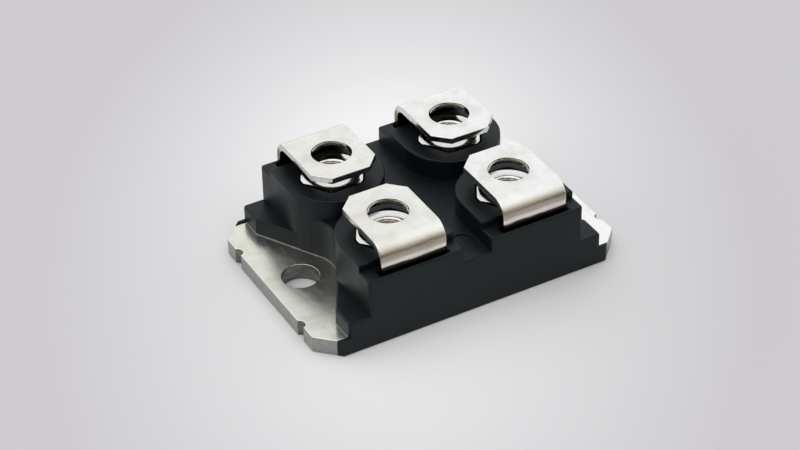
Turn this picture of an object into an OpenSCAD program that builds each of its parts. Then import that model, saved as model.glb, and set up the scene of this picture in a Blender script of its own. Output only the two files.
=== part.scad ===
// Isolated power transistor module: metal baseplate, moulded housing, four screw terminals over captive nuts.
// X runs along the length, Y across the width, Z up; the origin is the middle of the baseplate's underside.

/* [Baseplate] */
// Length of the baseplate
plate_l = 38; // [36:0.1:42]
// Thickness of the baseplate
plate_t = 2; // [1.5:0.05:3]
// Size of the 45 degree cut at each corner of the plate
plate_corner = 1.95; // [1:0.05:3]
// Distance from an end of the plate to its mounting hole
mount_inset = 3.9; // [3.4:0.1:4.6]
// Diameter of the mounting holes
mount_d = 4.2; // [3.2:0.1:4.6]
// Spacing of the two notches in each end of the plate
notch_pitch = 14.8; // [10:0.1:18]
// Width of a notch
notch_w = 1.3; // [0.9:0.1:2]
// Depth of a notch
notch_d = 0.5; // [0.4:0.05:1.2]

/* [Housing] */
// Width of the housing over its long sides
body_w = 25; // [24:0.1:28]
// Thickness of the skirt that covers the long sides of the plate
skirt_t = 0.5; // [0.4:0.05:0.8]
// Gap between the skirt and the plate
skirt_gap = 0.05; // [0.02:0.01:0.2]
// Height of the lower edge of the skirt above the underside of the plate
skirt_lift = 0.05; // [0.05:0.05:0.5]
// Height of the flange above the glue line
flange_h = 1.9; // [1.5:0.1:3]
// Step from the upper body out to the end of the flange
flange_out = 2.45; // [1.5:0.05:3.5]
// Width of the end face left at each corner of the flange
flange_land = 3.2; // [2.4:0.1:4.4]
// Height of the deck above the flange
deck_rise = 2.9; // [2.5:0.1:4]
// Height of the shelf above the deck
shelf_rise = 1.7; // [1.2:0.1:2.5]
// Height of a boss above the shelf
boss_rise = 0.8; // [0.4:0.1:1.5]
// Wall of a boss outside the corners of its nut pocket
boss_wall = 1.65; // [1:0.05:2.5]
// Radius of the screw recess round each mounting hole
recess_r = 4; // [3.4:0.1:4.5]
// Wall between the screw recess and the chamber inside
recess_wall = 1; // [0.8:0.1:1.5]
// Thickness of the long walls and of the end walls
side_wall = 1.7; // [1.2:0.1:2]
// Roof left between the chamber and the screw reliefs
roof_t = 0.8; // [0.6:0.05:1]
// Diameter of the ejector mark on the deck
mark_d = 3.2; // [1.5:0.1:3.4]
// Depth of the ejector mark
mark_depth = 0.15; // [0.05:0.05:0.4]
// Distance from the front face to the middle of the ejector mark
mark_inset = 3; // [2:0.1:5]

/* [Terminals] */
// Spacing of the terminal holes along the length
pitch_x = 15; // [14:0.1:16]
// Thickness of the terminal strip
strip_t = 0.8; // [0.6:0.05:1]
// Width of the terminal strip
strip_w = 8; // [7:0.1:9]
// Diameter of the hole in a tab
tab_hole_d = 4.5; // [4.1:0.1:5]
// Length of a tab from the middle of its hole to its free end
tab_reach = 4.5; // [3.5:0.1:5]
// Size of the 45 degree cut at the free corners of a tab
tab_corner = 1.7; // [0.8:0.1:2.2]
// Gap between the top of a boss and the tab over it
tab_gap = 1.8; // [1.2:0.1:2.5]
// Inner radius of the bend between tab and leg
bend_r = 1.2; // [0.6:0.1:1.4]
// Plastic left between a terminal leg and the long side
slot_lip = 0.6; // [0.5:0.05:1]
// Clearance round a leg in its slot
slot_gap = 0.1; // [0.05:0.01:0.15]
// Depth of the slot below the shelf, down to the shoulders of the leg
shoulder_d = 1.2; // [0.8:0.1:1.8]
// Width of a leg below its shoulders
leg_w = 4.8; // [3.5:0.1:5.2]
// Inner radius of the bend between leg and foot
foot_r = 0.6; // [0.4:0.05:0.8]
// Length of a foot on its solder
foot_land = 2.2; // [1.5:0.1:2.6]

/* [Nuts] */
// Width of a nut across its flats
nut_af = 7; // [6.5:0.1:7.5]
// Height of a nut
nut_h = 3.2; // [2.8:0.1:3.4]
// Diameter of the thread's bore in a nut
nut_bore = 3.3; // [3:0.05:3.5]
// Diameter of the countersink at each end of the bore
nut_sink = 4.3; // [4:0.1:4.6]
// Diameter of the chamfer circle on the faces of a nut
nut_face = 6.6; // [6:0.1:6.9]
// Angle of the chamfer on the corners of a nut
nut_chamfer = 30; // [20:1:40]
// Clearance between a nut and the flats of its pocket
pocket_gap = 0.1; // [0.05:0.01:0.2]
// Wall between a nut pocket and the terminal leg beside it
pocket_wall = 1.15; // [0.8:0.05:1.6]
// Boss left between a nut pocket and the shelf
pocket_rim = 0.35; // [0.2:0.05:0.6]
// Height of a nut above the top of its boss
nut_proud = 0.15; // [0:0.05:0.4]
// Width across the flats of the relief under a nut for the end of a screw
relief_af = 4.4; // [4.2:0.1:5]
// Depth of that relief
relief_depth = 0.5; // [0.3:0.05:0.8]

/* [Circuit] */
// Thickness of the glue line under the housing
seal_t = 0.1; // [0.05:0.01:0.2]
// Thickness of every solder layer
solder_t = 0.1; // [0.05:0.01:0.15]
// Thickness of the copper on both faces of the ceramic
copper_t = 0.3; // [0.2:0.05:0.4]
// Thickness of the ceramic tile
tile_t = 0.63; // [0.38:0.05:0.8]
// Gap between the ceramic tile and the walls of the chamber
tile_gap = 0.6; // [0.3:0.05:0.9]
// Bare ceramic left round the copper
copper_margin = 0.6; // [0.4:0.05:0.8]
// Gap between neighbouring copper pads
pad_gap = 0.8; // [0.5:0.05:1.2]
// Width of the gate and auxiliary source pads
small_pad_w = 6; // [5.5:0.1:7]
// Depth of the pads along the long sides
pad_d = 4.6; // [4:0.1:5]
// Copper left outside a foot
foot_margin = 0.3; // [0.1:0.05:0.5]
// Length of the transistor chip
die_l = 9; // [7:0.1:10]
// Width of the transistor chip
die_w = 6; // [5:0.1:7]
// Thickness of the transistor chip
die_t = 0.35; // [0.2:0.01:0.5]
// How far the chip reaches past the inner side of the gate pad
die_lap = 1.5; // [1.2:0.1:2]
// Diameter of the source bond wires
wire_d = 0.38; // [0.25:0.01:0.5]
// Diameter of the gate and auxiliary source bond wires
fine_wire_d = 0.25; // [0.15:0.01:0.3]
// Spacing of the source bond wires
wire_pitch = 0.9; // [0.7:0.05:1.5]
// Distance from the side of a pad or the chip to the first wire
wire_edge = 0.8; // [0.5:0.05:1.1]
// Distance from the middle of the chip to the wire's rise
wire_rise_y = 1.2; // [0.8:0.1:1.6]
// Distance from the inner side of a pad to the wire's landing
wire_land = 1; // [0.6:0.1:1.6]
// Space between the bond wires and the roof of the chamber
wire_top_gap = 0.5; // [0.4:0.05:0.6]
// Space between the gel and the roof of the chamber
gel_space = 0.1; // [0.05:0.01:0.14]

/* [Hidden] */
$fn = 96;
// Overrun of a cut past the face that it opens
cut = 1;
// Step that the boss radius is rounded to, so that faces in line with a boss stay in line
round_step = 0.01;
// How far the straight sides of an end recess start inside its round end, so that they cross it
recess_bite = 0.02;

// Levels, from the baseplate up
seat_z = plate_t + seal_t;
flange_z = seat_z + flange_h;
deck_z = flange_z + deck_rise;
shelf_z = deck_z + shelf_rise;
boss_z = shelf_z + boss_rise;
tab_z = boss_z + tab_gap;
tab_top_z = tab_z + strip_t;
nut_z = boss_z + nut_proud - nut_h;
relief_z = nut_z - relief_depth;
chamber_z = relief_z - roof_t;
shoulder_z = shelf_z - shoulder_d;
back_copper_z = plate_t + solder_t;
tile_z = back_copper_z + copper_t;
pad_z = tile_z + tile_t;
pad_top_z = pad_z + copper_t;
foot_z = pad_top_z + solder_t;
die_z = pad_top_z + solder_t;
die_top_z = die_z + die_t;
gel_top_z = chamber_z - gel_space;

// Half sizes of the plate, the nuts, the bosses and the bodies
body_y = body_w / 2;
plate_x = plate_l / 2;
plate_y = body_y - skirt_t - skirt_gap;
mount_x = plate_x - mount_inset;
pocket_y = nut_af / 2 + pocket_gap;
boss_r = round((pocket_y / cos(30) + boss_wall) / round_step) * round_step;
hole_x = pitch_x / 2;
leg_out_y = body_y - slot_lip;
leg_in_y = leg_out_y - strip_t;
hole_y = leg_in_y - pocket_wall - pocket_y;
shelf_y = hole_y + pocket_y + pocket_rim;
upper_x = hole_x + boss_r;
flange_x = upper_x + flange_out;
tab_end_y = hole_y - tab_reach;

// Straight side of the end recess: tangent to the screw recess, out to the end face of the flange
corner_reach = [flange_x - mount_x, body_y - flange_land];
recess_angle = atan2(corner_reach.y, corner_reach.x) + acos(recess_r / norm(corner_reach));

// Chamber inside the housing and the ceramic tile in it
chamber_x = upper_x - side_wall;
chamber_y = body_y - side_wall;
tile_x = mount_x - recess_r - recess_wall - tile_gap;
tile_y = chamber_y - tile_gap;
copper_x = tile_x - copper_margin;
copper_y = tile_y - copper_margin;
split_x = small_pad_w - copper_x;
source_x = split_x + pad_gap;
pad_y = copper_y - pad_d;
drain_y = pad_y - pad_gap;
foot_x = copper_x - foot_margin - leg_w / 2;
foot_end_y = copper_y - foot_margin - foot_land;
bay_z = foot_z - slot_gap;

// Chip and bond wires
die_x = split_x - die_lap;
fine_wire_x = split_x - wire_edge;
first_wire_x = source_x + wire_edge;
last_wire_x = die_x + die_l - wire_edge / 2;
wire_end_y = pad_y + wire_land;

plastic = "#26292b";
nickel = "#cfcdc6";
copper = "#c07a4b";
solder = "#a9abad";

// Block between two opposite corners
module block(low, high) {
    translate(low)
        cube(high - low);
}

// Repeats its children at both ends of the module
module both_ends() {
    children();
    mirror([1, 0, 0])
        children();
}

// Moves a rear right shape to the side given by the signs of x and y
module quadrant(side) {
    mirror([side.x < 0 ? 1 : 0, 0, 0])
        mirror([0, side.y < 0 ? 1 : 0, 0])
            children();
}

SIDES = [[1, 1], [1, -1], [-1, -1], [-1, 1]];
DRAIN = SIDES[0];
SOURCE = SIDES[1];
GATE = SIDES[2];
AUX_SOURCE = SIDES[3];

// Plan of the right end recess, grown outwards by a wall
module recess_plan(grow) {
    side = recess_r + grow;
    start = (side - recess_bite) * [cos(recess_angle), sin(recess_angle)];
    end = start + plate_l * [sin(recess_angle), -cos(recess_angle)];
    translate([mount_x, 0]) {
        circle(side);
        polygon([start, end, [end.x, -end.y], [start.x, -start.y]]);
    }
}

// Plan of the flange, with both end recesses cut out
module flange_plan(half_w) {
    difference() {
        square([2 * flange_x, 2 * half_w], center = true);
        both_ends()
            recess_plan(0);
    }
}

// Plan of the chamber inside the housing
module chamber_plan() {
    difference() {
        square([2 * chamber_x, 2 * chamber_y], center = true);
        both_ends()
            recess_plan(recess_wall);
    }
}

// Plan with the four corners cut at 45 degrees
module cut_corner_plan(half_l, half_w, corner) {
    polygon([
        [half_l, half_w - corner], [half_l - corner, half_w], [corner - half_l, half_w], [-half_l, half_w - corner],
        [-half_l, corner - half_w], [corner - half_l, -half_w], [half_l - corner, -half_w], [half_l, corner - half_w]
    ]);
}

module notch_plan() {
    for (side = [-1, 1])
        translate([plate_x, side * notch_pitch / 2]) {
            translate([notch_w / 2 - notch_d, 0])
                circle(d = notch_w);
            translate([notch_w / 2 - notch_d, -notch_w / 2])
                square([notch_d + cut, notch_w]);
        }
}

module baseplate() {
    color(nickel)
        linear_extrude(plate_t)
            difference() {
                cut_corner_plan(plate_x, plate_y, plate_corner);
                both_ends() {
                    notch_plan();
                    translate([mount_x, 0])
                        circle(d = mount_d);
                }
            }
}

module base_seal() {
    color("#5b5d5a")
        translate([0, 0, plate_t])
            linear_extrude(seal_t)
                difference() {
                    flange_plan(plate_y);
                    chamber_plan();
                }
}

// Skirt down both long sides, its ends in line with the cut corners of the plate
module skirt() {
    translate([0, 0, skirt_lift])
        linear_extrude(seat_z - skirt_lift)
            difference() {
                cut_corner_plan(plate_x, body_y, plate_corner + body_y - plate_y);
                square([plate_l, 2 * (plate_y + skirt_gap)], center = true);
            }
}

// Raises a plan from the glue line up to a level
module raised(top_z) {
    translate([0, 0, seat_z])
        linear_extrude(top_z - seat_z)
            children();
}

// Plan of the boss at the rear right: round towards the middle, square towards the long side
module boss_plan() {
    difference() {
        translate([hole_x, hole_y])
            circle(boss_r);
        translate([0, hole_y])
            square([2 * upper_x, body_w]);
    }
    translate([hole_x - boss_r, hole_y])
        square([2 * boss_r, shelf_y - hole_y]);
}

// Body above the flange: the deck, the four bosses whose round walls run down to the flange, and the shelves
module upper_body() {
    difference() {
        union() {
            raised(deck_z) {
                square([2 * hole_x, body_w], center = true);
                square([2 * upper_x, 2 * (hole_y - boss_r * sin(recess_angle))], center = true);
            }
            for (side = SIDES)
                quadrant(side) {
                    raised(boss_z)
                        boss_plan();
                    raised(shelf_z)
                        translate([hole_x - boss_r, shelf_y])
                            square([2 * boss_r, body_y - shelf_y]);
                }
        }
        both_ends()
            translate([0, 0, seat_z - cut])
                linear_extrude(boss_z)
                    recess_plan(0);
    }
}

// Pocket for a nut, with a relief for the end of the screw, and the slot for the leg, at the rear right
module terminal_seat() {
    translate([hole_x, hole_y, nut_z])
        cylinder(r = pocket_y / cos(30), h = nut_h + cut, $fn = 6);
    translate([hole_x, hole_y, relief_z])
        cylinder(r = relief_af / 2 / cos(30), h = relief_depth + cut, $fn = 6);
    block(
        [hole_x - strip_w / 2 - slot_gap, leg_in_y - slot_gap, shoulder_z],
        [hole_x + strip_w / 2 + slot_gap, leg_out_y + slot_gap, shelf_z + cut]
    );
    block(
        [foot_x - leg_w / 2 - slot_gap, leg_in_y - slot_gap, bay_z],
        [foot_x + leg_w / 2 + slot_gap, leg_out_y + slot_gap, shoulder_z + cut / 2]
    );
}

// Widening of the chamber round a leg and its foot, at the rear right
module leg_bay(top_z) {
    block(
        [foot_x - leg_w / 2 - slot_gap, chamber_y - cut, bay_z],
        [foot_x + leg_w / 2 + slot_gap, leg_out_y + slot_gap, top_z]
    );
}

module housing() {
    color(plastic)
        difference() {
            union() {
                skirt();
                raised(flange_z)
                    flange_plan(body_y);
                upper_body();
            }
            for (side = SIDES)
                quadrant(side) {
                    terminal_seat();
                    leg_bay(chamber_z);
                }
            translate([0, 0, plate_t - cut])
                linear_extrude(chamber_z - plate_t + cut)
                    chamber_plan();
            translate([0, mark_inset - body_y, deck_z - mark_depth])
                cylinder(d = mark_d, h = mark_depth + cut);
        }
}

// Quarter of a bent strip's section, between two radii, in the quadrant given by the signs of x and y
module bend_section(inner_r, side) {
    outer_r = inner_r + strip_t;
    difference() {
        circle(outer_r);
        circle(inner_r);
        translate([side.x > 0 ? -2 * outer_r : 0, -2 * outer_r])
            square([2 * outer_r, 4 * outer_r]);
        translate([-2 * outer_r, side.y > 0 ? -2 * outer_r : 0])
            square([4 * outer_r, 2 * outer_r]);
    }
}

// Section of the wide strip, drawn as across and up: tab, bend and leg down to the shoulders
module tab_section() {
    bend_y = leg_in_y - bend_r;
    bend_z = tab_z - bend_r;
    translate([tab_end_y, tab_z])
        square([bend_y - tab_end_y, strip_t]);
    translate([bend_y, bend_z])
        bend_section(bend_r, [1, 1]);
    translate([leg_in_y, shoulder_z])
        square([strip_t, bend_z - shoulder_z]);
}

// Section of the narrow strip: leg below the shoulders, bend and foot
module foot_section() {
    bend_y = leg_in_y - foot_r;
    bend_z = foot_z + strip_t + foot_r;
    translate([leg_in_y, bend_z])
        square([strip_t, shoulder_z - bend_z]);
    translate([bend_y, bend_z])
        bend_section(foot_r, [1, -1]);
    translate([foot_end_y, foot_z])
        square([bend_y - foot_end_y, strip_t]);
}

// Strip of a width, extruded along X round a middle
module strip(middle_x, width) {
    translate([middle_x - width / 2, 0, 0])
        rotate([90, 0, 90])
            linear_extrude(width)
                children();
}

// Terminal at the rear right: tab with a clear hole, bend, leg with shoulders, and foot
module terminal() {
    difference() {
        intersection() {
            strip(hole_x, strip_w)
                tab_section();
            linear_extrude(tab_top_z + cut)
                polygon([
                    [hole_x - strip_w / 2, body_y], [hole_x - strip_w / 2, tab_end_y + tab_corner],
                    [hole_x - strip_w / 2 + tab_corner, tab_end_y], [hole_x + strip_w / 2 - tab_corner, tab_end_y],
                    [hole_x + strip_w / 2, tab_end_y + tab_corner], [hole_x + strip_w / 2, body_y]
                ]);
        }
        translate([hole_x, hole_y, tab_z - cut])
            cylinder(d = tab_hole_d, h = strip_t + 2 * cut);
    }
    strip(foot_x, leg_w)
        foot_section();
}

module drain_terminal() {
    color(nickel)
        quadrant(DRAIN)
            terminal();
}

module source_terminal() {
    color(nickel)
        quadrant(SOURCE)
            terminal();
}

module gate_terminal() {
    color(nickel)
        quadrant(GATE)
            terminal();
}

module aux_source_terminal() {
    color(nickel)
        quadrant(AUX_SOURCE)
            terminal();
}

// Hexagon nut with chamfered corners and a countersunk bore, corners along X
module nut() {
    corner_r = nut_af / 2 / cos(30);
    chamfer_h = (corner_r - nut_face / 2) * tan(nut_chamfer);
    sink_h = (nut_sink - nut_bore) / 2;
    difference() {
        intersection() {
            cylinder(r = corner_r, h = nut_h, $fn = 6);
            rotate_extrude()
                polygon([
                    [0, 0], [nut_face / 2, 0], [corner_r, chamfer_h],
                    [corner_r, nut_h - chamfer_h], [nut_face / 2, nut_h], [0, nut_h]
                ]);
        }
        rotate_extrude()
            polygon([
                [0, -cut], [nut_sink / 2, -cut], [nut_sink / 2, 0], [nut_bore / 2, sink_h],
                [nut_bore / 2, nut_h - sink_h], [nut_sink / 2, nut_h], [nut_sink / 2, nut_h + cut], [0, nut_h + cut]
            ]);
    }
}

module terminal_nuts() {
    color(nickel)
        for (side = SIDES)
            translate([side.x * hole_x, side.y * hole_y, nut_z])
                nut();
}

// Flat layer of the circuit between two corners of its plan
module layer(low, high, z, thickness) {
    block([low.x, low.y, z], [high.x, high.y, z + thickness]);
}

module substrate_solder() {
    color(solder)
        layer([-copper_x, -copper_y], [copper_x, copper_y], plate_t, solder_t);
}

module substrate_back_copper() {
    color(copper)
        layer([-copper_x, -copper_y], [copper_x, copper_y], back_copper_z, copper_t);
}

module ceramic_tile() {
    color("#eceae4")
        layer([-tile_x, -tile_y], [tile_x, tile_y], tile_z, tile_t);
}

module drain_pad() {
    color(copper)
        translate([0, 0, pad_z])
            linear_extrude(copper_t)
                polygon([
                    [-copper_x, -drain_y], [copper_x, -drain_y], [copper_x, copper_y],
                    [source_x, copper_y], [source_x, drain_y], [-copper_x, drain_y]
                ]);
}

module source_pad() {
    color(copper)
        layer([source_x, -copper_y], [copper_x, -pad_y], pad_z, copper_t);
}

module gate_pad() {
    color(copper)
        layer([-copper_x, -copper_y], [split_x, -pad_y], pad_z, copper_t);
}

module aux_source_pad() {
    color(copper)
        layer([-copper_x, pad_y], [split_x, copper_y], pad_z, copper_t);
}

module terminal_solder() {
    color(solder)
        for (side = SIDES)
            quadrant(side)
                layer(
                    [foot_x - leg_w / 2, foot_end_y], [foot_x + leg_w / 2, foot_end_y + foot_land],
                    pad_top_z, solder_t
                );
}

module die_solder() {
    color(solder)
        layer([die_x, -die_w / 2], [die_x + die_l, die_w / 2], pad_top_z, solder_t);
}

module mosfet_die() {
    color("#6f7684")
        layer([die_x, -die_w / 2], [die_x + die_l, die_w / 2], die_z, die_t);
}

// Arched wire along +Y from the top of the chip to the top of a pad, both ends cut flush
module bond_wire(x, d) {
    half_span = (wire_end_y - wire_rise_y) / 2;
    middle_y = wire_rise_y + half_span;
    apex_z = chamber_z - wire_top_gap - d / 2;
    rise = apex_z - pad_top_z;
    arch_r = (half_span * half_span + rise * rise) / (2 * rise);
    reach = arch_r + d;
    difference() {
        translate([x, middle_y, apex_z - arch_r])
            rotate([90, 0, 90])
                rotate_extrude(angle = 180)
                    translate([arch_r, 0])
                        circle(d = d, $fn = 24);
        block([x - d, middle_y - reach, pad_top_z - 2 * reach], [x + d, middle_y, die_top_z]);
        block([x - d, middle_y - d, pad_top_z - 2 * reach], [x + d, middle_y + reach, pad_top_z]);
    }
}

module source_wires() {
    color("#d9d9d6")
        for (x = [first_wire_x : wire_pitch : last_wire_x])
            mirror([0, 1, 0])
                bond_wire(x, wire_d);
}

module gate_wire() {
    color("#d9d9d6")
        mirror([0, 1, 0])
            bond_wire(fine_wire_x, fine_wire_d);
}

module aux_source_wire() {
    color("#d9d9d6")
        bond_wire(fine_wire_x, fine_wire_d);
}

// Everything that the gel flows round
module gel_contents() {
    substrate_solder();
    substrate_back_copper();
    ceramic_tile();
    drain_pad();
    source_pad();
    gate_pad();
    aux_source_pad();
    terminal_solder();
    die_solder();
    mosfet_die();
    source_wires();
    gate_wire();
    aux_source_wire();
    for (side = SIDES)
        quadrant(side)
            strip(foot_x, leg_w)
                foot_section();
}

module silicone_gel() {
    color("#cfe3e6")
        difference() {
            union() {
                translate([0, 0, plate_t])
                    linear_extrude(gel_top_z - plate_t)
                        chamber_plan();
                for (side = SIDES)
                    quadrant(side)
                        leg_bay(gel_top_z);
            }
            gel_contents();
        }
}

baseplate();
base_seal();
housing();
drain_terminal();
source_terminal();
gate_terminal();
aux_source_terminal();
terminal_nuts();
substrate_solder();
substrate_back_copper();
ceramic_tile();
drain_pad();
source_pad();
gate_pad();
aux_source_pad();
terminal_solder();
die_solder();
mosfet_die();
source_wires();
gate_wire();
aux_source_wire();
silicone_gel();
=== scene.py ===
"""Looks of an isolated power transistor module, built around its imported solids."""

import math

import bmesh
import bpy
import numpy as np
from mathutils import Matrix, Vector


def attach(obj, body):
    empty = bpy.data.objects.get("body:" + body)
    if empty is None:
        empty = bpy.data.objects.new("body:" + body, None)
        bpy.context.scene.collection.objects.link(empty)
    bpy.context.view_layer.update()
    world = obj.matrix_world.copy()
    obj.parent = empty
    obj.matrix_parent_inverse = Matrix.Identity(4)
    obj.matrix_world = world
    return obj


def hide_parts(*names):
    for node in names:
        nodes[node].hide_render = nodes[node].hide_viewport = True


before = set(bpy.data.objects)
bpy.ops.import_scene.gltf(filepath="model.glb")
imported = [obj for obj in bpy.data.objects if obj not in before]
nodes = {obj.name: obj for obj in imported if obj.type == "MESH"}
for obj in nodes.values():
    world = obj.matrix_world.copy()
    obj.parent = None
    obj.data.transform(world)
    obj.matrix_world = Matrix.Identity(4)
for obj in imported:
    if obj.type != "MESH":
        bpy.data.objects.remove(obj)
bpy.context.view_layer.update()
scene = bpy.context.scene
scene.view_settings.view_transform = "Standard"

# Sizes of the module in millimetres: x along, y across and z up, for the quarter at the rear right
MM = 0.001
PLATE_END_X = 19.0
PLATE_T = 2.0
MOUNT_X = 15.1
MOUNT_R = 2.1
NOTCH = (19.15, 7.4, 0.7)
BODY_Y = 12.5
SKIRT_IN_Y = 12.0
SKIRT_Z = 0.05
SKIRT_FOOT_X = 17.0
SKIRT_END_X = 16.5
FLANGE_X = 15.76
FLANGE_LAND_Y = 9.3
UPPER_X = 13.31
INNER_X = 1.69
RECESS_R = 4.0
RECESS_ANGLE = math.radians(150.53)
BOSS_X = 7.5
BOSS_Y = 6.35
BOSS_R = 5.81
BOSS_BACK_Y = 10.3
SEAT_Z = 2.1
FLANGE_Z = 4.0
DECK_Z = 6.9
SHELF_Z = 8.6
BOSS_Z = 9.4
CHAMBER_Z = 5.05
CHAMBER_WALL = 1.0
SIDE_WALL = 1.7
MARK_R = 1.6
MARK_Y = -9.5
MARK_DEPTH = 0.15
STRIP_T = 0.8
TAB_Z = 11.2
TAB_TOP_Z = 12.0
TAB_HOLE_R = 2.25
BEND_Y = 9.9
BEND_Z = 10.0
BEND_R = 2.0
LEG_OUT_Y = 11.9
SHOULDER_Z = 7.4
FOOT_X = 6.2
BAY_Z = 3.33
BAY_IN_Y = 9.8
SLOT_IN_Y = 11.0
SLOT_OUT_Y = 12.0
SLOT_HALF_W = 4.1
LEG_SLOT_HALF_W = 2.5
NUT_Z = 6.35
NUT_H = 3.2
POCKET_W = 7.2
POCKET_CORNER_R = 1.2
RELIEF_W = 4.4
RELIEF_DEPTH = 0.5
QUADRANTS = ((1, 1), (1, -1), (-1, -1), (-1, 1))
LONG_SIDES = ((1, 1), (1, -1))

# Range that most of a noise lies in, and the heights in millimetres that painted shade by height is given over
NOISE_LOW = 0.3
NOISE_HIGH = 0.7
PAINTED_SHADE_LOW_Z = 5.0
PAINTED_SHADE_SPAN_Z = 10.0
PAINTED_SHADE_WAVER = 0.12
WHITE = (1.0, 1.0, 1.0)

# Turn of the camera about the module in radians, and the colour of the sheet far behind it
VIEW_TURN = math.radians(-29.58)
BACKDROP = (0.617, 0.604, 0.637)


# Meshes
def link_object(name, mesh):
    piece = bpy.data.objects.new(name, mesh)
    scene.collection.objects.link(piece)
    return piece


def mesh_from(name, points_mm, faces):
    """Mesh of points in millimetres, with its faces turned outwards."""
    mesh = bpy.data.meshes.new(name)
    mesh.from_pydata([Vector(p) * MM for p in points_mm], [], faces)
    shape = bmesh.new()
    shape.from_mesh(mesh)
    bmesh.ops.recalc_face_normals(shape, faces=shape.faces)
    shape.to_mesh(mesh)
    shape.free()
    return mesh


def smooth_by_angle(mesh, degrees):
    mesh.polygons.foreach_set("use_smooth", [True] * len(mesh.polygons))
    mesh.set_sharp_from_angle(angle=math.radians(degrees))


def settle_normals(piece):
    """Weights the normals by face area, so that flat faces stay flat beside rounded edges."""
    weighted = piece.modifiers.new("flat_faces", "WEIGHTED_NORMAL")
    weighted.keep_sharp = True
    weighted.weight = 100


def keep_result(piece):
    """Makes what a piece's modifiers give its plain mesh, and drops the modifiers."""
    bpy.context.view_layer.update()
    made = bpy.data.meshes.new_from_object(piece.evaluated_get(bpy.context.evaluated_depsgraph_get()))
    piece.modifiers.clear()
    old = piece.data
    piece.data = made
    bpy.data.meshes.remove(old)


def hand_over(piece, slot, *stands_for):
    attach(piece, "root")
    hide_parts(*stands_for)


# Outlines in plan, counter-clockwise
def rounded_outline(corners, steps=6):
    """Outline through corners (x, y, radius), each rounded to its radius, with more steps on the wide arcs."""
    wide_r = 1
    wide_steps = 6
    outline = []
    count = len(corners)
    for i, (x, y, radius) in enumerate(corners):
        corner = np.array((x, y))
        if radius == 0:
            outline.append(corner)
            continue
        before = np.array(corners[i - 1][:2]) - corner
        after = np.array(corners[(i + 1) % count][:2]) - corner
        before /= np.linalg.norm(before)
        after /= np.linalg.norm(after)
        half = math.acos(np.clip(before @ after, -1, 1)) / 2
        middle = (before + after) / np.linalg.norm(before + after)
        centre = corner + middle * radius / math.sin(half)
        start = corner + before * radius / math.tan(half) - centre
        end = corner + after * radius / math.tan(half) - centre
        first = math.atan2(start[1], start[0])
        turn = math.remainder(math.atan2(end[1], end[0]) - first, 2 * math.pi)
        arc_steps = steps if radius < wide_r else steps * wide_steps
        for k in range(arc_steps + 1):
            angle = first + turn * k / arc_steps
            outline.append(centre + radius * np.array((math.cos(angle), math.sin(angle))))
    return np.array(outline)


def inset(outline, distance):
    """Outline moved inwards, corner by corner."""
    along = np.roll(outline, -1, axis=0) - outline
    along /= np.linalg.norm(along, axis=1)[:, None]
    outward = np.stack((along[:, 1], -along[:, 0]), axis=1)
    previous = np.roll(outward, 1, axis=0)
    share = 1 + np.sum(previous * outward, axis=1)
    return outline - distance * (previous + outward) / share[:, None]


def ring_stack(name, rings):
    """Closed solid through outlines of equal length, given as (outline, z)."""
    count = len(rings[0][0])
    points = [(x, y, z) for outline, z in rings for x, y in outline]
    faces = [tuple(range(count))]
    for level in range(len(rings) - 1):
        low = level * count
        for i in range(count):
            j = (i + 1) % count
            faces.append((low + i, low + j, low + count + j, low + count + i))
    faces.append(tuple(range((len(rings) - 1) * count, len(rings) * count)))
    return link_object(name, mesh_from(name, points, faces))


def moulded_block(name, outline, low_z, top_z, top_r, low_r=0.0):
    """Block with its upper and lower edges rounded over."""
    steps = 4
    rings = []
    turns = [math.pi / 2 * k / steps for k in range(steps + 1)]
    if low_r:
        for turn in turns[:-1]:
            rings.append((inset(outline, low_r * (1 - math.sin(turn))), low_z + low_r * (1 - math.cos(turn))))
    rings.append((outline, low_z + low_r))
    for turn in turns:
        rings.append((inset(outline, top_r * (1 - math.cos(turn))), top_z - top_r + top_r * math.sin(turn)))
    return ring_stack(name, rings)


def flared_cutter(name, outline, low_z, mouth_z, flare):
    """Cutter for a pocket whose mouth is broken by a small chamfer."""
    overrun = 1.0
    wide = inset(outline, -flare)
    rings = [(outline, low_z), (outline, mouth_z - flare), (wide, mouth_z), (wide, mouth_z + overrun)]
    return ring_stack(name, rings)


def mirrored(outline, side):
    """Outline of the rear right moved to another quadrant, still counter-clockwise."""
    turned = outline * np.array(side)
    return turned[::-1] if side[0] * side[1] < 0 else turned


def box_outline(low_x, low_y, high_x, high_y):
    return np.array(((low_x, low_y), (high_x, low_y), (high_x, high_y), (low_x, high_y)))


def combine(body, other, operation):
    """Joins another block to a body, or cuts it out, and uses the block up."""
    cutter = body.modifiers.new("join", "BOOLEAN")
    cutter.operation = operation
    cutter.solver = "EXACT"
    cutter.object = other
    keep_result(body)
    bpy.data.objects.remove(other)


# Shader nodes
def set_stops(ramp, stops):
    """Gives a colour ramp its stops (position, colour)."""
    elements = ramp.color_ramp.elements
    while len(elements) < len(stops):
        elements.new(1.0)
    for element, (position, colour) in zip(elements, stops):
        element.position = position
        element.color = (*colour, 1.0)


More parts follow.
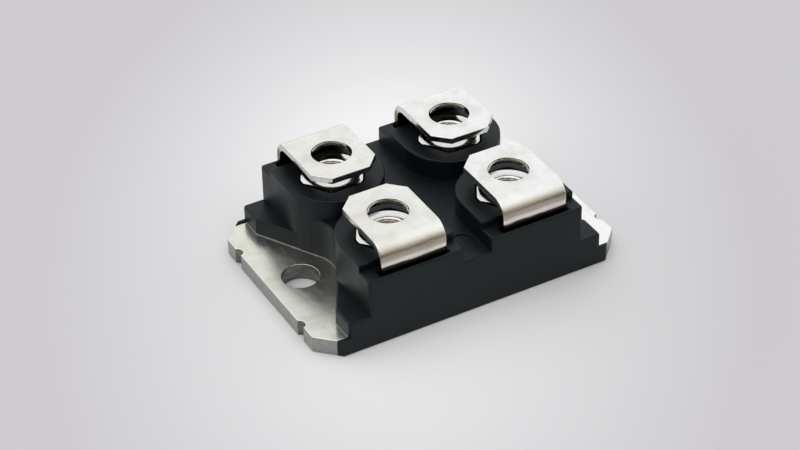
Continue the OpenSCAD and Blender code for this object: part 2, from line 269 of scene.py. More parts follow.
class Finish:
    """Material whose nodes read Object coordinates, scaled to millimetres."""

    def __init__(self, name):
        self.material = bpy.data.materials.new(name)
        self.material.use_nodes = True
        self.tree = self.material.node_tree
        self.shader = self.tree.nodes["Principled BSDF"]
        self.place = self.node("ShaderNodeTexCoord").outputs["Object"]

    def node(self, kind, **values):
        made = self.tree.nodes.new(kind)
        for key, value in values.items():
            setattr(made, key, value)
        return made

    def feed(self, socket, value):
        if isinstance(value, bpy.types.NodeSocket):
            self.tree.links.new(value, socket)
        else:
            socket.default_value = value

    def noise(self, per_mm, detail, stretch=(1, 1, 1)):
        mapping = self.node("ShaderNodeMapping")
        self.feed(mapping.inputs["Vector"], self.place)
        mapping.inputs["Scale"].default_value = [per_mm / MM * s for s in stretch]
        texture = self.node("ShaderNodeTexNoise")
        self.feed(texture.inputs["Vector"], mapping.outputs["Vector"])
        texture.inputs["Scale"].default_value = 1.0
        texture.inputs["Detail"].default_value = detail
        texture.inputs["Roughness"].default_value = 0.55
        return texture.outputs["Fac"]

    def ramp(self, factor, *stops):
        ramp = self.node("ShaderNodeValToRGB")
        self.feed(ramp.inputs["Fac"], factor)
        set_stops(ramp, stops)
        return ramp.outputs["Color"]

    def blend(self, factor, first, second, mode="MIX"):
        mix = self.node("ShaderNodeMix", data_type="RGBA", blend_type=mode)
        for socket, value in zip((mix.inputs[0], mix.inputs[6], mix.inputs[7]), (factor, first, second)):
            self.feed(socket, (*value, 1.0) if isinstance(value, tuple) else value)
        return mix.outputs[2]

    def calculate(self, operation, *values):
        step = self.node("ShaderNodeMath", operation=operation)
        for socket, value in zip(step.inputs, values):
            self.feed(socket, value)
        return step.outputs[0]

    def rescale(self, value, from_low, from_high, to_low, to_high):
        """Value carried from one range to another and held inside it."""
        scale = self.node("ShaderNodeMapRange")
        self.feed(scale.inputs["Value"], value)
        ends = {"From Min": from_low, "From Max": from_high, "To Min": to_low, "To Max": to_high}
        for name, end in ends.items():
            scale.inputs[name].default_value = end
        return scale.outputs["Result"]

    def span(self, noise, low, high):
        """Noise spread from a low value to a high one."""
        return self.rescale(noise, NOISE_LOW, NOISE_HIGH, low, high)

    def within(self, distance, radius, fade):
        """One up to a radius, falling to nothing over the fade."""
        return self.rescale(distance, radius, radius + fade, 1.0, 0.0)

    def along(self, axis):
        apart = self.node("ShaderNodeSeparateXYZ")
        self.feed(apart.inputs["Vector"], self.place)
        return apart.outputs[axis]

    def reach(self, x, y):
        """Distance in millimetres from an upright axis at (x, y) and from its images in the other quarters."""
        apart = self.place
        steps = (
            ("ABSOLUTE", None), ("SUBTRACT", (x * MM, y * MM, 0)),
            ("MULTIPLY", (1 / MM, 1 / MM, 0)), ("LENGTH", None),
        )
        for operation, amount in steps:
            step = self.node("ShaderNodeVectorMath", operation=operation)
            self.feed(step.inputs[0], apart)
            if amount:
                step.inputs[1].default_value = amount
            apart = step.outputs["Value"] if operation == "LENGTH" else step.outputs["Vector"]
        return apart

    def painted_shade_by_level(self, noise, stops):
        """Painted shade by height over the baseplate, in stops (height, tint) that waver with a noise."""
        waver = PAINTED_SHADE_WAVER / PAINTED_SHADE_SPAN_Z
        height = self.calculate(
            "MULTIPLY_ADD", self.along("Z"), 1 / (PAINTED_SHADE_SPAN_Z * MM), self.span(noise, -waver, waver)
        )
        share = self.calculate("SUBTRACT", height, PAINTED_SHADE_LOW_Z / PAINTED_SHADE_SPAN_Z)
        return self.ramp(share, *(((z - PAINTED_SHADE_LOW_Z) / PAINTED_SHADE_SPAN_Z, tint) for z, tint in stops))

    def lengthwise(self, left, right):
        """Tint that passes from one end of the module to the other."""
        end = PLATE_END_X * MM
        return self.blend(self.rescale(self.along("X"), -end, end, 0.0, 1.0), left, right)

    def bump(self, height, depth_mm, strength, under=None):
        bump = self.node("ShaderNodeBump")
        bump.inputs["Strength"].default_value = strength
        bump.inputs["Distance"].default_value = depth_mm * MM
        self.feed(bump.inputs["Height"], height)
        if under is not None:
            self.feed(bump.inputs["Normal"], under)
        return bump.outputs["Normal"]

    def finish(self, colour, roughness, normal, metallic=0.0, **constants):
        self.feed(self.shader.inputs["Base Color"], colour)
        self.feed(self.shader.inputs["Roughness"], roughness)
        self.feed(self.shader.inputs["Normal"], normal)
        self.shader.inputs["Metallic"].default_value = metallic
        for key, value in constants.items():
            self.shader.inputs[key.replace("_", " ")].default_value = value
        return self.material


def shaded(colour, share):
    return tuple(share * c for c in colour)


def black_moulding():
    """Satin plastic with a faint cloud of tone and gloss, and a fine grain."""
    finish = Finish("black_moulding")
    cloud = finish.noise(0.35, 4)
    grain = finish.noise(9, 3)
    colour = finish.ramp(cloud, (NOISE_LOW, (0.0033, 0.0043, 0.0056)), (NOISE_HIGH, (0.006, 0.0074, 0.0096)))
    normal = finish.bump(grain, 0.006, 0.5)
    return finish.finish(
        colour, finish.span(cloud, 0.38, 0.46), normal,
        IOR=1.5, Specular_IOR_Level=0.27, Specular_Tint=(0.8, 0.97, 1.0, 1.0)
    )


def nickel_face(name, warm, low, high, per_mm, stretch, relief, painted_shade_by_height=(), end_to_end_tints=(), handled=()):
    """Plated face with faint rolling streaks, painted shade and painted dark reflection by height (height,
    tint) that waver with the streaks, tints (left, right) that pass from one end to the other, and patches
    left by handling: their tint and the screw hole (x, y, radius) that they gather round."""
    finish = Finish(name)
    streak = finish.noise(per_mm, 4, stretch)
    cloud = finish.noise(0.3, 3)
    grain = finish.noise(14, 2)
    light = finish.ramp(streak, (NOISE_LOW, shaded(warm, 0.93)), (NOISE_HIGH, warm))
    colour = finish.blend(cloud, light, shaded(warm, 0.97))
    # Painted shade and painted dark reflection by height
    if painted_shade_by_height:
        colour = finish.blend(1.0, colour, finish.painted_shade_by_level(streak, painted_shade_by_height), "MULTIPLY")
    # Tint passing from the left end to the right, darker and warmer at the left
    if end_to_end_tints:
        colour = finish.blend(1.0, colour, finish.lengthwise(*end_to_end_tints), "MULTIPLY")
    if handled:
        tint, (x, y, radius) = handled
        near_hole = finish.within(finish.reach(x, y), radius, fade=1.2)
        worked = finish.calculate("MULTIPLY_ADD", near_hole, 0.1, finish.noise(0.42, 4))
        patches = finish.span(worked, -0.55, 1.0)
        colour = finish.blend(1.0, colour, finish.blend(patches, WHITE, tint), "MULTIPLY")
    normal = finish.bump(streak, relief, 0.4, finish.bump(grain, relief / 5, 0.5))
    return finish.finish(colour, finish.span(streak, low, high), normal, metallic=1.0)


def sheared_edge(name, bright, dull, deep, low, high, relief, hollows, painted_shade_by_height=()):
    """Edge cut by a press: faint upright scratches outside, level bands of a deep colour inside the hollows
    (x, y, radius), and painted shade by height (height, tint)."""
    finish = Finish(name)
    scratch = finish.noise(11, 3, (1, 1, 0.1))
    level = finish.noise(6, 3, (0.12, 0.12, 1))
    colour = finish.ramp(scratch, (NOISE_LOW, dull), (NOISE_HIGH, bright))
    banded = finish.ramp(level, (0.35, shaded(deep, 0.45)), (0.65, deep))
    for x, y, radius in hollows:
        colour = finish.blend(finish.within(finish.reach(x, y), radius, fade=0.15), colour, banded)
    # Painted shade by height
    if painted_shade_by_height:
        colour = finish.blend(1.0, colour, finish.painted_shade_by_level(level, painted_shade_by_height), "MULTIPLY")
    normal = finish.bump(scratch, relief, 0.5, finish.bump(level, relief, 0.6))
    return finish.finish(colour, finish.span(level, low, high), normal, metallic=1.0)


def bright_steel():
    """Plated steel, bright on the outside, with painted brown shade in the threaded bore."""
    finish = Finish("bright_steel")
    turned = finish.noise(3, 3, (1, 1, 4))
    outside = finish.ramp(turned, (NOISE_LOW, (0.72, 0.715, 0.7)), (NOISE_HIGH, (0.8, 0.8, 0.785)))
    # Painted shade: dark brown inside the threaded bore
    thread = finish.ramp(turned, (NOISE_LOW, (0.09, 0.07, 0.055)), (NOISE_HIGH, (0.2, 0.16, 0.125)))
    bore_painted_shade_mask = finish.within(finish.reach(BOSS_X, BOSS_Y), radius=1.95, fade=0.12)
    colour = finish.blend(bore_painted_shade_mask, outside, thread)
    return finish.finish(colour, finish.span(turned, 0.12, 0.2), finish.bump(turned, 0.002, 0.5), metallic=1.0)


def inner_finish(name, dark, light, per_mm, low, high, metallic=0.0, **constants):
    """Finish of a layer inside the housing: mottled colour, uneven gloss and a fine relief."""
    finish = Finish(name)
    mottle = finish.noise(per_mm, 4)
    colour = finish.ramp(mottle, (NOISE_LOW, dark), (NOISE_HIGH, light))
    normal = finish.bump(mottle, 0.004, 0.6)
    return finish.finish(colour, finish.span(mottle, low, high), normal, metallic=metallic, **constants)


# Painted shade and reflection on the strips by height: painted shade dark down in the slot, a painted brown
# band of dark reflection round the bend, clean on the tab
BEND_PAINTED_SHADE = (
    (9.27, (0.03, 0.022, 0.02)), (9.47, (0.96, 0.93, 0.89)), (9.7, (1.0, 0.98, 0.95)),
    (10.06, (0.56, 0.51, 0.44)), (10.45, (0.55, 0.5, 0.42)), (10.8, (0.93, 0.9, 0.82)),
    (11.15, (0.93, 0.92, 0.88)), (11.5, WHITE),
)
# Painted shade on the strips' cut edges, darker down the bend towards the slot
EDGE_PAINTED_SHADE = ((9.3, (0.12, 0.09, 0.06)), (10.6, (0.35, 0.29, 0.2)), (11.2, WHITE))

# Streaks of the rolled metal: how many to a millimetre, and how they stretch along x, y and z
PLATE_STREAKS = (2.2, (1, 0.3, 1))
STRIP_STREAKS = (6, (0.07, 1, 1))

moulding = black_moulding()
plate_face = nickel_face(
    "plate_face", (0.975, 0.985, 0.97), 0.2, 0.28, *PLATE_STREAKS, 0.0004,
    end_to_end_tints=((0.82, 0.82, 0.76), WHITE), handled=((0.86, 0.86, 0.78), (MOUNT_X, 0, MOUNT_R))
)
plate_edge = sheared_edge(
    "plate_edge", (0.38, 0.375, 0.36), (0.27, 0.265, 0.255), (0.24, 0.245, 0.23), 0.2, 0.32, 0.0035,
    ((MOUNT_X, 0, MOUNT_R + 0.05), NOTCH)
)
strip_face = nickel_face(
    "strip_face", (0.96, 0.97, 0.985), 0.2, 0.3, *STRIP_STREAKS, 0.002, BEND_PAINTED_SHADE,
    ((0.87, 0.85, 0.77), WHITE), ((0.87, 0.865, 0.83), (BOSS_X, BOSS_Y, TAB_HOLE_R + 0.15))
)
# Dark brown copy of the nickel on the strips' undersides: painted shade
strip_under = nickel_face("strip_under", (0.065, 0.055, 0.047), 0.2, 0.3, *STRIP_STREAKS, 0.002)
strip_edge = sheared_edge(
    "strip_edge", (0.8, 0.79, 0.76), (0.6, 0.59, 0.565), (0.84, 0.87, 0.78), 0.1, 0.18, 0.0015,
    ((BOSS_X, BOSS_Y, TAB_HOLE_R + 0.05),), EDGE_PAINTED_SHADE
)
nut_steel = bright_steel()


# Housing
def v_wall_x(y, flush):
    """Where the sloping wall of an end recess stands at y from the middle, moved towards the end by flush."""
    across = MOUNT_X - (RECESS_R - flush) / abs(math.cos(RECESS_ANGLE))
    return across + abs(y) * math.tan(math.pi - RECESS_ANGLE)


def both_ends(right):
    """Outline of a right end's corners and of the same corners turned half round."""
    return rounded_outline(right + [(-x, -y, r) for x, y, r in right])


def flange_outline():
    """Flange, its recess walls a hair further in than the deck's, so that no two walls lie in one plane."""
    sunk = -0.03
    land = FLANGE_LAND_Y - sunk / math.sin(RECESS_ANGLE)
    right = [
        (FLANGE_X, -BODY_Y, 0.4), (FLANGE_X, -land, 0.3), (v_wall_x(0, sunk), 0, RECESS_R - sunk),
        (FLANGE_X, land, 0.3), (FLANGE_X, BODY_Y, 0.4),
    ]
    return both_ends(right)


def deck_outline():
    side_y = BOSS_Y - BOSS_R * math.sin(RECESS_ANGLE)
    side_x = v_wall_x(side_y, 0)
    right = [
        (BOSS_X, -BODY_Y, 0), (BOSS_X, -side_y, 0), (side_x, -side_y, 0), (v_wall_x(0, 0), 0, RECESS_R),
        (side_x, side_y, 0), (BOSS_X, side_y, 0), (BOSS_X, BODY_Y, 0),
    ]
    return both_ends(right)


def boss_outline():
    """Rear right boss: round towards the middle, shaved by the sloping wall, square towards the long side."""
    proud = 0.03
    steps = 72
    away = RECESS_ANGLE + math.pi
    centre = np.array((BOSS_X - MOUNT_X, BOSS_Y))
    wall = centre @ np.array((math.cos(RECESS_ANGLE), math.sin(RECESS_ANGLE))) - RECESS_R + proud
    points = [np.array((UPPER_X, BOSS_BACK_Y)), np.array((INNER_X, BOSS_BACK_Y))]
    for k in range(steps + 1):
        angle = math.pi + math.pi * k / steps
        lean = math.cos(angle - away)
        reach = min(BOSS_R, wall / lean) if lean > 0.5 else BOSS_R
        points.append(np.array((BOSS_X + reach * math.cos(angle), BOSS_Y + reach * math.sin(angle))))
    return np.array(points)


def hexagon(middle, across_flats):
    reach = across_flats / 2 / math.cos(math.pi / 6)
    turns = [math.pi / 3 * k for k in range(6)]
    return np.array([(middle[0] + reach * math.cos(t), middle[1] + reach * math.sin(t)) for t in turns])


def chamber_outline():
    end_x = UPPER_X - SIDE_WALL
    apex = v_wall_x(0, -CHAMBER_WALL)
    corner_y = (end_x - apex) / math.tan(math.pi - RECESS_ANGLE)
    side_y = BODY_Y - SIDE_WALL
    right = [
        (end_x, -side_y, 0), (end_x, -corner_y, 0), (apex, 0, RECESS_R + CHAMBER_WALL),
        (end_x, corner_y, 0), (end_x, side_y, 0),
    ]
    return both_ends(right)


def housing_cutters():
    """Pockets, reliefs, slots and bays of the terminals, the chamber and the ejector mark."""
    overlap = 0.5
    middle = (BOSS_X, BOSS_Y)
    pocket = rounded_outline([(x, y, POCKET_CORNER_R) for x, y in hexagon(middle, POCKET_W)], 2)
    slot = box_outline(BOSS_X - SLOT_HALF_W, SLOT_IN_Y, BOSS_X + SLOT_HALF_W, SLOT_OUT_Y)
    low_x, high_x = FOOT_X - LEG_SLOT_HALF_W, FOOT_X + LEG_SLOT_HALF_W
    leg_slot = box_outline(low_x, SLOT_IN_Y, high_x, SLOT_OUT_Y)
    leg_bay = box_outline(low_x, BAY_IN_Y, high_x, SLOT_OUT_Y)
    cutters = []
    for side in QUADRANTS:
        cutters.append(flared_cutter("pocket", mirrored(pocket, side), NUT_Z, BOSS_Z, flare=0.12))
        relief = mirrored(hexagon(middle, RELIEF_W), side)
        cutters.append(ring_stack("relief", [(relief, NUT_Z - RELIEF_DEPTH), (relief, NUT_Z + overlap)]))
        cutters.append(flared_cutter("slot", mirrored(slot, side), SHOULDER_Z, SHELF_Z, flare=0.2))
        outline = mirrored(leg_slot, side)
        cutters.append(ring_stack("leg_slot", [(outline, BAY_Z), (outline, SHOULDER_Z + overlap)]))
        outline = mirrored(leg_bay, side)
        cutters.append(ring_stack("leg_bay", [(outline, BAY_Z), (outline, CHAMBER_Z)]))
    chamber = chamber_outline()
    cutters.append(ring_stack("chamber", [(chamber, SEAT_Z - 1), (chamber, CHAMBER_Z)]))
    mark_steps = 64
    turns = [2 * math.pi * k / mark_steps for k in range(mark_steps)]
    mark = np.array([(MARK_R * math.cos(t), MARK_R * math.sin(t) + MARK_Y) for t in turns])
    cutters.append(flared_cutter("ejector_mark", mark, DECK_Z - MARK_DEPTH, DECK_Z, flare=0.05))
    return cutters


def make_housing():
    """Joins the flange, deck, bosses, shelves and skirts to one moulding, then cuts out its hollows."""
    body = moulded_block("housing_moulding", flange_outline(), SEAT_Z, FLANGE_Z, top_r=0.25)
    joined = [moulded_block("deck", deck_outline(), SEAT_Z, DECK_Z, top_r=0.25)]
    for side in QUADRANTS:
        joined.append(moulded_block("boss", mirrored(boss_outline(), side), SEAT_Z, BOSS_Z, top_r=0.22))
        shelf = rounded_outline([
            (INNER_X, BOSS_BACK_Y - 1, 0), (UPPER_X, BOSS_BACK_Y - 1, 0),
            (UPPER_X, BODY_Y, 0.4), (INNER_X, BODY_Y, 0.3),
        ])
        joined.append(moulded_block("shelf", mirrored(shelf, side), SEAT_Z, SHELF_Z, top_r=0.22))
    for side in LONG_SIDES:
        rim = box_outline(-FLANGE_X + 1, SKIRT_IN_Y, FLANGE_X - 1, BODY_Y)
        rim = mirrored(rim, side)
        joined.append(moulded_block("skirt_rim", rim, SKIRT_Z, FLANGE_Z - 1, top_r=0.05, low_r=0.05))
        skirt = np.array((
            (-SKIRT_FOOT_X, SKIRT_IN_Y), (SKIRT_FOOT_X, SKIRT_IN_Y),
            (SKIRT_END_X, BODY_Y), (-SKIRT_END_X, BODY_Y),
        ))
        skirt = mirrored(skirt, side)
        joined.append(moulded_block("skirt", skirt, SKIRT_Z, SEAT_Z + 0.02, top_r=0.1, low_r=0.05))
    for block in joined:
        combine(body, block, "UNION")
    for cutter in housing_cutters():
        combine(body, cutter, "DIFFERENCE")
    return body


housing = make_housing()
housing.data.materials.append(moulding)
smooth_by_angle(housing.data, degrees=32)
settle_normals(housing)
hand_over(housing, "housing_plastic", "housing")


# Plate and strips
def merged_copy(node):
    """Shape of a solid's mesh with its triangles merged into whole faces."""
    shape = bmesh.new()
    shape.from_mesh(nodes[node].data)
    bmesh.ops.remove_doubles(shape, verts=shape.verts, dist=0.001 * MM)
    bmesh.ops.dissolve_limit(
        shape, angle_limit=math.radians(0.5), verts=shape.verts, edges=shape.edges,
        use_dissolve_boundaries=False
    )
    return shape


def sharp_edges(shape, chosen):
    """Edges between faces at more than 30 degrees, both of whose ends are chosen."""
    found = []
    for edge in shape.edges:
        if len(edge.link_faces) == 2 and edge.calc_face_angle() > math.radians(30):
            if all(chosen(v.co / MM) for v in edge.verts):
                found.append(edge)
    return found


def roll_edges(shape, edges, width, steps):
    """Rounds edges over a width in millimetres."""
    bmesh.ops.bevel(
        shape, geom=edges, offset=width * MM, offset_type="OFFSET", segments=steps, profile=0.5,
        affect="EDGES", clamp_overlap=True, loop_slide=True, material=-1
    )


def finished_piece(name, shape, finishes, choose):
    """Piece of a shape, with the number of its finish chosen face by face."""
    for face in shape.faces:
        face.material_index = int(choose(face))
    mesh = bpy.data.meshes.new(name)
    shape.to_mesh(mesh)
    shape.free()
    for finish in finishes:
        mesh.materials.append(finish)
    smooth_by_angle(mesh, degrees=40)
    piece = link_object(name, mesh)
    settle_normals(piece)
    return piece


def near(value, level):
    return abs(value - level) < 0.01


def make_plate():
    shape = merged_copy("baseplate")

    def in_hole(p):
        return math.hypot(abs(p.x) - MOUNT_X, p.y) < MOUNT_R + 0.4

    def is_edge(face):
        return abs(face.normal.z) < 0.3

    rim = sharp_edges(shape, lambda p: near(p.z, PLATE_T) and not in_hole(p))
    roll_edges(shape, rim, width=0.28, steps=4)
    hole_mouths = sharp_edges(shape, lambda p: near(p.z, PLATE_T) and in_hole(p))
    roll_edges(shape, hole_mouths, width=0.05, steps=2)
    underside = sharp_edges(shape, lambda p: near(p.z, 0))
    roll_edges(shape, underside, width=0.06, steps=2)
    plate = finished_piece("plated_baseplate", shape, (plate_face, plate_edge), is_edge)
    hand_over(plate, "plated_base", "baseplate")


def strip_depth(point):
    """Depth of a point below the outer face of a bent strip."""
    y = abs(point.y)
    if y < BEND_Y:
        return TAB_TOP_Z - point.z
    if point.z > BEND_Z:
        return BEND_R - math.hypot(y - BEND_Y, point.z - BEND_Z)
    return LEG_OUT_Y - y


def make_strip(node):
    slack = 0.1
    finishes = (strip_face, strip_edge, strip_under)
    shape = merged_copy(node)
    outer = sharp_edges(shape, lambda p: p.z > SHOULDER_Z - slack and near(strip_depth(p), 0))
    roll_edges(shape, outer, width=0.16, steps=4)
    inner = sharp_edges(shape, lambda p: p.z > SHOULDER_Z - slack and near(strip_depth(p), STRIP_T))
    roll_edges(shape, inner, width=0.05, steps=2)

    def choose(face):
        middle = face.calc_center_median() / MM
        if abs(face.normal.x) > 0.6 or (middle.z > TAB_Z - slack and abs(face.normal.z) < 0.5):
            return finishes.index(strip_edge)
        # Undersides take the painted shade finish
        return finishes.index(strip_under if strip_depth(middle) > STRIP_T - slack else strip_face)

    strip = finished_piece(node.replace("terminal", "strip"), shape, finishes, choose)
    hand_over(strip, "plated_strip", node)


make_plate()
for terminal in ("drain_terminal", "source_terminal", "gate_terminal", "aux_source_terminal"):
    make_strip(terminal)


# Nuts
def nut_mesh():
    """One hexagon nut on its own axis, base at zero, with a cut thread and countersunk mouths."""
    columns = 144
    wall_rows = 68
    pitch = 0.7
    minor_r = 1.65
    major_r = 2.03
    mouth_r = 2.15
    face_r = 3.3
    flat_r = 3.42
    corner_r = 3.75
    slope = math.tan(math.radians(30))
    ease_out = 0.025
    ease_up = 0.012
    thread_flat = 0.1
    rows = []
    for row in range(wall_rows + 1):
        z = NUT_H * row / wall_rows
        mouth = mouth_r - min(z, NUT_H - z)
        ring = []
        for column in range(columns):
            turn = column / columns
            wave = abs(2 * ((z / pitch - turn) % 1.0) - 1)
            flank = min(1.0, max(0.0, (wave - thread_flat) / (1 - 2 * thread_flat)))
            thread = minor_r + (major_r - minor_r) * flank
            ring.append((max(mouth, thread), z))
        rows.append(ring)
    low_rim = [[], [], []]
    for column in range(columns):
        lean = (2 * math.pi * column / columns) % (math.pi / 3) - math.pi / 6
        side = min(flat_r / math.cos(lean), corner_r)
        low_rim[0].append((face_r, 0.0))
        low_rim[1].append((face_r + ease_out, ease_up))
        low_rim[2].append((side, (side - face_r) * slope))
    rows += [[(r, NUT_H - z) for r, z in ring] for ring in low_rim]
    rows += low_rim[::-1]
    points = []
    for ring in rows:
        for column, (r, z) in enumerate(ring):
            angle = 2 * math.pi * column / columns
            points.append((r * math.cos(angle), r * math.sin(angle), z))
    faces = []
    for level in range(len(rows)):
        low = level * columns
        high = (level + 1) % len(rows) * columns
        for i in range(columns):
            j = (i + 1) % columns
            faces.append((low + i, low + j, high + j, high + i))
    mesh = mesh_from("nut", points, faces)
    smooth_by_angle(mesh, degrees=28)
    return mesh


def nut_placing_tree():
    """Sets a nut in each of the four pockets: a grid of two by two points, one nut on each."""
    tree = bpy.data.node_groups.new("nuts_in_pockets", "GeometryNodeTree")
    tree.interface.new_socket("Nut", in_out="INPUT", socket_type="NodeSocketGeometry")
    for name in ("Spacing along", "Spacing across", "Pocket floor"):
        tree.interface.new_socket(name, in_out="INPUT", socket_type="NodeSocketFloat")
    tree.interface.new_socket("Finish", in_out="INPUT", socket_type="NodeSocketMaterial")
    tree.interface.new_socket("Nuts", in_out="OUTPUT", socket_type="NodeSocketGeometry")
    link = tree.links.new
    start = tree.nodes.new("NodeGroupInput")
    pockets = tree.nodes.new("GeometryNodeMeshGrid")
    pockets.inputs["Vertices X"].default_value = 2
    pockets.inputs["Vertices Y"].default_value = 2
    link(start.outputs["Spacing along"], pockets.inputs["Size X"])
    link(start.outputs["Spacing across"], pockets.inputs["Size Y"])
    floor_level = tree.nodes.new("ShaderNodeCombineXYZ")
    link(start.outputs["Pocket floor"], floor_level.inputs["Z"])
    lift = tree.nodes.new("GeometryNodeSetPosition")
    link(pockets.outputs["Mesh"], lift.inputs["Geometry"])
    link(floor_level.outputs["Vector"], lift.inputs["Offset"])
    place = tree.nodes.new("GeometryNodeInstanceOnPoints")
    link(lift.outputs["Geometry"], place.inputs["Points"])
    link(start.outputs["Nut"], place.inputs["Instance"])
    realize = tree.nodes.new("GeometryNodeRealizeInstances")
    link(place.outputs["Instances"], realize.inputs["Geometry"])
    coat = tree.nodes.new("GeometryNodeSetMaterial")
    link(realize.outputs["Geometry"], coat.inputs["Geometry"])
    link(start.outputs["Finish"], coat.inputs["Material"])
    end = tree.nodes.new("NodeGroupOutput")
    link(coat.outputs["Geometry"], end.inputs["Nuts"])
    return tree


def bake_nodes(piece, tree, **values):
    """Runs a node tree on a piece and keeps the result as its plain mesh."""
    modifier = piece.modifiers.new("nodes", "NODES")
    modifier.node_group = tree
    for item in tree.interface.items_tree:
        key = item.name.replace(" ", "_").lower()
        if item.in_out == "INPUT" and key in values:
            modifier[item.identifier] = values[key]
    keep_result(piece)


def make_nuts():
    nuts = link_object("hexagon_nuts", nut_mesh())
    bake_nodes(
        nuts, nut_placing_tree(),
        spacing_along=2 * BOSS_X * MM, spacing_across=2 * BOSS_Y * MM,
        pocket_floor=NUT_Z * MM, finish=nut_steel
    )
    hand_over(nuts, "nut_steel", "terminal_nuts")


make_nuts()

# Finishes of the circuit inside the housing
grey_glue = inner_finish("grey_glue", (0.2, 0.2, 0.19), (0.32, 0.32, 0.31), 1.5, 0.5, 0.7)
dull_solder = inner_finish("dull_solder", (0.5, 0.51, 0.52), (0.66, 0.67, 0.68), 2.5, 0.3, 0.5, 1.0)
bare_copper = inner_finish("bare_copper", (0.62, 0.33, 0.2), (0.78, 0.46, 0.3), 1.2, 0.25, 0.42, 1.0)
fired_ceramic = inner_finish("fired_ceramic", (0.82, 0.81, 0.78), (0.9, 0.89, 0.87), 3.0, 0.45, 0.6)
chip_metal = inner_finish("chip_metal", (0.3, 0.32, 0.38), (0.42, 0.44, 0.5), 4.0, 0.2, 0.35, 1.0)
drawn_wire = inner_finish("drawn_wire", (0.78, 0.78, 0.77), (0.88, 0.88, 0.87), 6.0, 0.2, 0.35, 1.0)
clear_gel = inner_finish(
    "clear_gel", (0.74, 0.82, 0.84), (0.84, 0.9, 0.92), 0.4, 0.08, 0.16, Transmission_Weight=0.7, IOR=1.41
)
INNER_FINISHES = {
    grey_glue: ("base_seal",),
    dull_solder: ("substrate_solder", "terminal_solder", "die_solder"),
    bare_copper: ("substrate_back_copper", "drain_pad", "source_pad", "gate_pad", "aux_source_pad"),
    fired_ceramic: ("ceramic_tile",),
    chip_metal: ("mosfet_die",),
    drawn_wire: ("source_wires", "gate_wire", "aux_source_wire"),
    clear_gel: ("silicone_gel",),
}
for inner, names in INNER_FINISHES.items():
    for name in names:
        for held in nodes[name].material_slots:
            held.material = inner


# Floor, light and camera
def make_floor():
    """Pale sheet with a painted pool of light: lightest under the module, where it offsets the module's
    shadow, and fading over an oval that the camera sees as a circle.
    """
    middle = np.array((0, 5, -0.05))
    half_w = 85
    front = -80
    rear = 90
    right = np.array((math.cos(VIEW_TURN), math.sin(VIEW_TURN), 0))
    ahead = np.array((-math.sin(VIEW_TURN), math.cos(VIEW_TURN), 0))
    sides = ((-half_w, front), (half_w, front), (half_w, rear), (-half_w, rear))
    corners = [middle + right * across + ahead * away for across, away in sides]
    floor = link_object("floor", mesh_from("floor", corners, [(0, 1, 2, 3)]))
    finish = Finish("pale_floor")
    oval = finish.node("ShaderNodeMapping", vector_type="TEXTURE")
    finish.feed(oval.inputs["Vector"], finish.place)
    oval.inputs["Location"].default_value = (0, middle[1] * MM, 0)
    oval.inputs["Rotation"].default_value = (0, 0, VIEW_TURN)
    oval.inputs["Scale"].default_value = (0.1, 0.17, 0.1)
    distance = finish.node("ShaderNodeVectorMath", operation="LENGTH")
    finish.feed(distance.inputs[0], oval.outputs["Vector"])
    # Painted pool of light, lightest under the module and darkening outwards
    painted_light_pool = finish.ramp(
        distance.outputs["Value"], (0.12, (0.94, 0.94, 0.955)), (0.19, (0.81, 0.81, 0.83)),
        (0.24, (0.745, 0.743, 0.765)), (0.31, (0.675, 0.671, 0.692)), (0.4, BACKDROP)
    )
    finish.feed(finish.shader.inputs["Base Color"], painted_light_pool)
    finish.shader.inputs["Roughness"].default_value = 0.9
    finish.shader.inputs["Specular IOR Level"].default_value = 0.0
    floor.data.materials.append(finish.material)


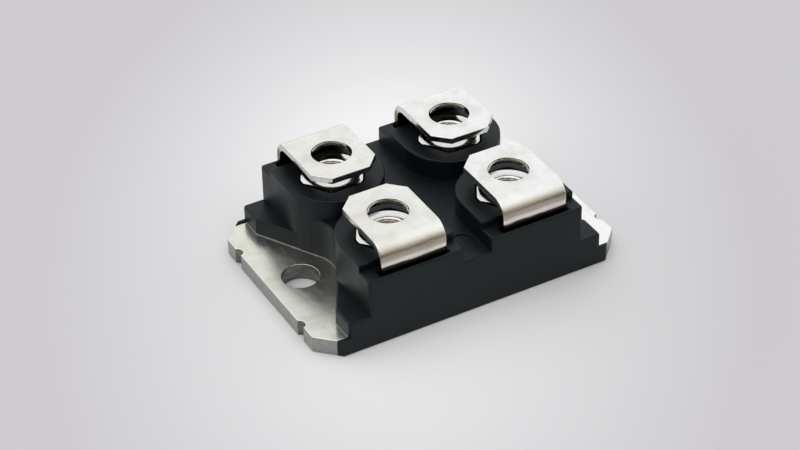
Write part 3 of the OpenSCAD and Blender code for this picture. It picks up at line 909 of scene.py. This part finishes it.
def make_world():
    """Studio: white behind and above, darker and warmer low in front, a plain backdrop to the camera."""
    bright_side = (0.15, 0.3, 0.37)
    stops = (
        (0.27, (0.13, 0.105, 0.08)), (0.36, (0.25, 0.215, 0.17)), (0.45, (0.58, 0.55, 0.5)),
        (0.58, (0.88, 0.87, 0.85)), (0.72, (0.98, 0.98, 0.98)), (0.88, (0.97, 0.97, 0.97)),
        (0.98, (0.9, 0.9, 0.91)),
    )
    world = bpy.data.worlds.new("studio")
    scene.world = world
    world.use_nodes = True
    tree = world.node_tree
    light = tree.nodes["Background"]
    place = tree.nodes.new("ShaderNodeTexCoord")
    lean = tree.nodes.new("ShaderNodeVectorMath")
    lean.operation = "DOT_PRODUCT"
    lean.inputs[1].default_value = bright_side
    tree.links.new(place.outputs["Generated"], lean.inputs[0])
    share = tree.nodes.new("ShaderNodeMath")
    share.inputs[1].default_value = 0.5
    tree.links.new(lean.outputs["Value"], share.inputs[0])
    ramp = tree.nodes.new("ShaderNodeValToRGB")
    tree.links.new(share.outputs[0], ramp.inputs["Fac"])
    set_stops(ramp, stops)
    tree.links.new(ramp.outputs["Color"], light.inputs["Color"])
    light.inputs["Strength"].default_value = 1.08
    backdrop = tree.nodes.new("ShaderNodeBackground")
    backdrop.inputs["Color"].default_value = (*BACKDROP, 1.0)
    rays = tree.nodes.new("ShaderNodeLightPath")
    seen = tree.nodes.new("ShaderNodeMixShader")
    tree.links.new(rays.outputs["Is Camera Ray"], seen.inputs["Fac"])
    tree.links.new(light.outputs["Background"], seen.inputs[1])
    tree.links.new(backdrop.outputs["Background"], seen.inputs[2])
    tree.links.new(seen.outputs["Shader"], tree.nodes["World Output"].inputs["Surface"])


def softbox(name, place, aim, width, height, level):
    """Area lamp of a radiance level, aimed at a point."""
    lamp = bpy.data.lights.new(name, "AREA")
    lamp.shape = "RECTANGLE"
    lamp.size = width
    lamp.size_y = height
    lamp.energy = level * math.pi * width * height
    holder = bpy.data.objects.new(name, lamp)
    holder.location = place
    holder.rotation_mode = "QUATERNION"
    holder.rotation_quaternion = (Vector(aim) - Vector(place)).to_track_quat("-Z", "Y")
    scene.collection.objects.link(holder)


def make_camera():
    """Camera fitted to the view: its focal length and its aim are given in pixels of a picture."""
    elevation = math.radians(36.03)
    roll = math.radians(-0.69)
    distance = 0.2708
    focal_px = 2442.2
    picture_px = 800
    off_right_px = 20.0
    off_up_px = 12.9
    sensor_mm = 36.0
    target = Vector((0, 0, 0.005))
    back = Vector((
        math.sin(VIEW_TURN) * math.cos(elevation), -math.cos(VIEW_TURN) * math.cos(elevation),
        math.sin(elevation),
    ))
    level = Vector((0, 0, 1)).cross(back).normalized()
    upright = back.cross(level)
    right = level * math.cos(roll) + upright * math.sin(roll)
    up = upright * math.cos(roll) - level * math.sin(roll)
    eye = target + back * distance
    aim = target - (right * off_right_px + up * off_up_px) * distance / focal_px
    data = bpy.data.cameras.new("camera")
    data.sensor_width = sensor_mm
    data.lens = focal_px / picture_px * sensor_mm
    data.clip_start = 0.01
    data.clip_end = 10.0
    camera = bpy.data.objects.new("camera", data)
    scene.collection.objects.link(camera)
    back = (eye - aim).normalized()
    right = (right - back * right.dot(back)).normalized()
    up = back.cross(right)
    camera.matrix_world = Matrix((
        (right.x, up.x, back.x, eye.x), (right.y, up.y, back.y, eye.y),
        (right.z, up.z, back.z, eye.z), (0, 0, 0, 1),
    ))
    scene.camera = camera


make_floor()
make_world()
softbox("left_front", (-0.36, -0.24, 0.4), aim=(0, 0, 0), width=0.75, height=0.75, level=0.32)
make_camera()
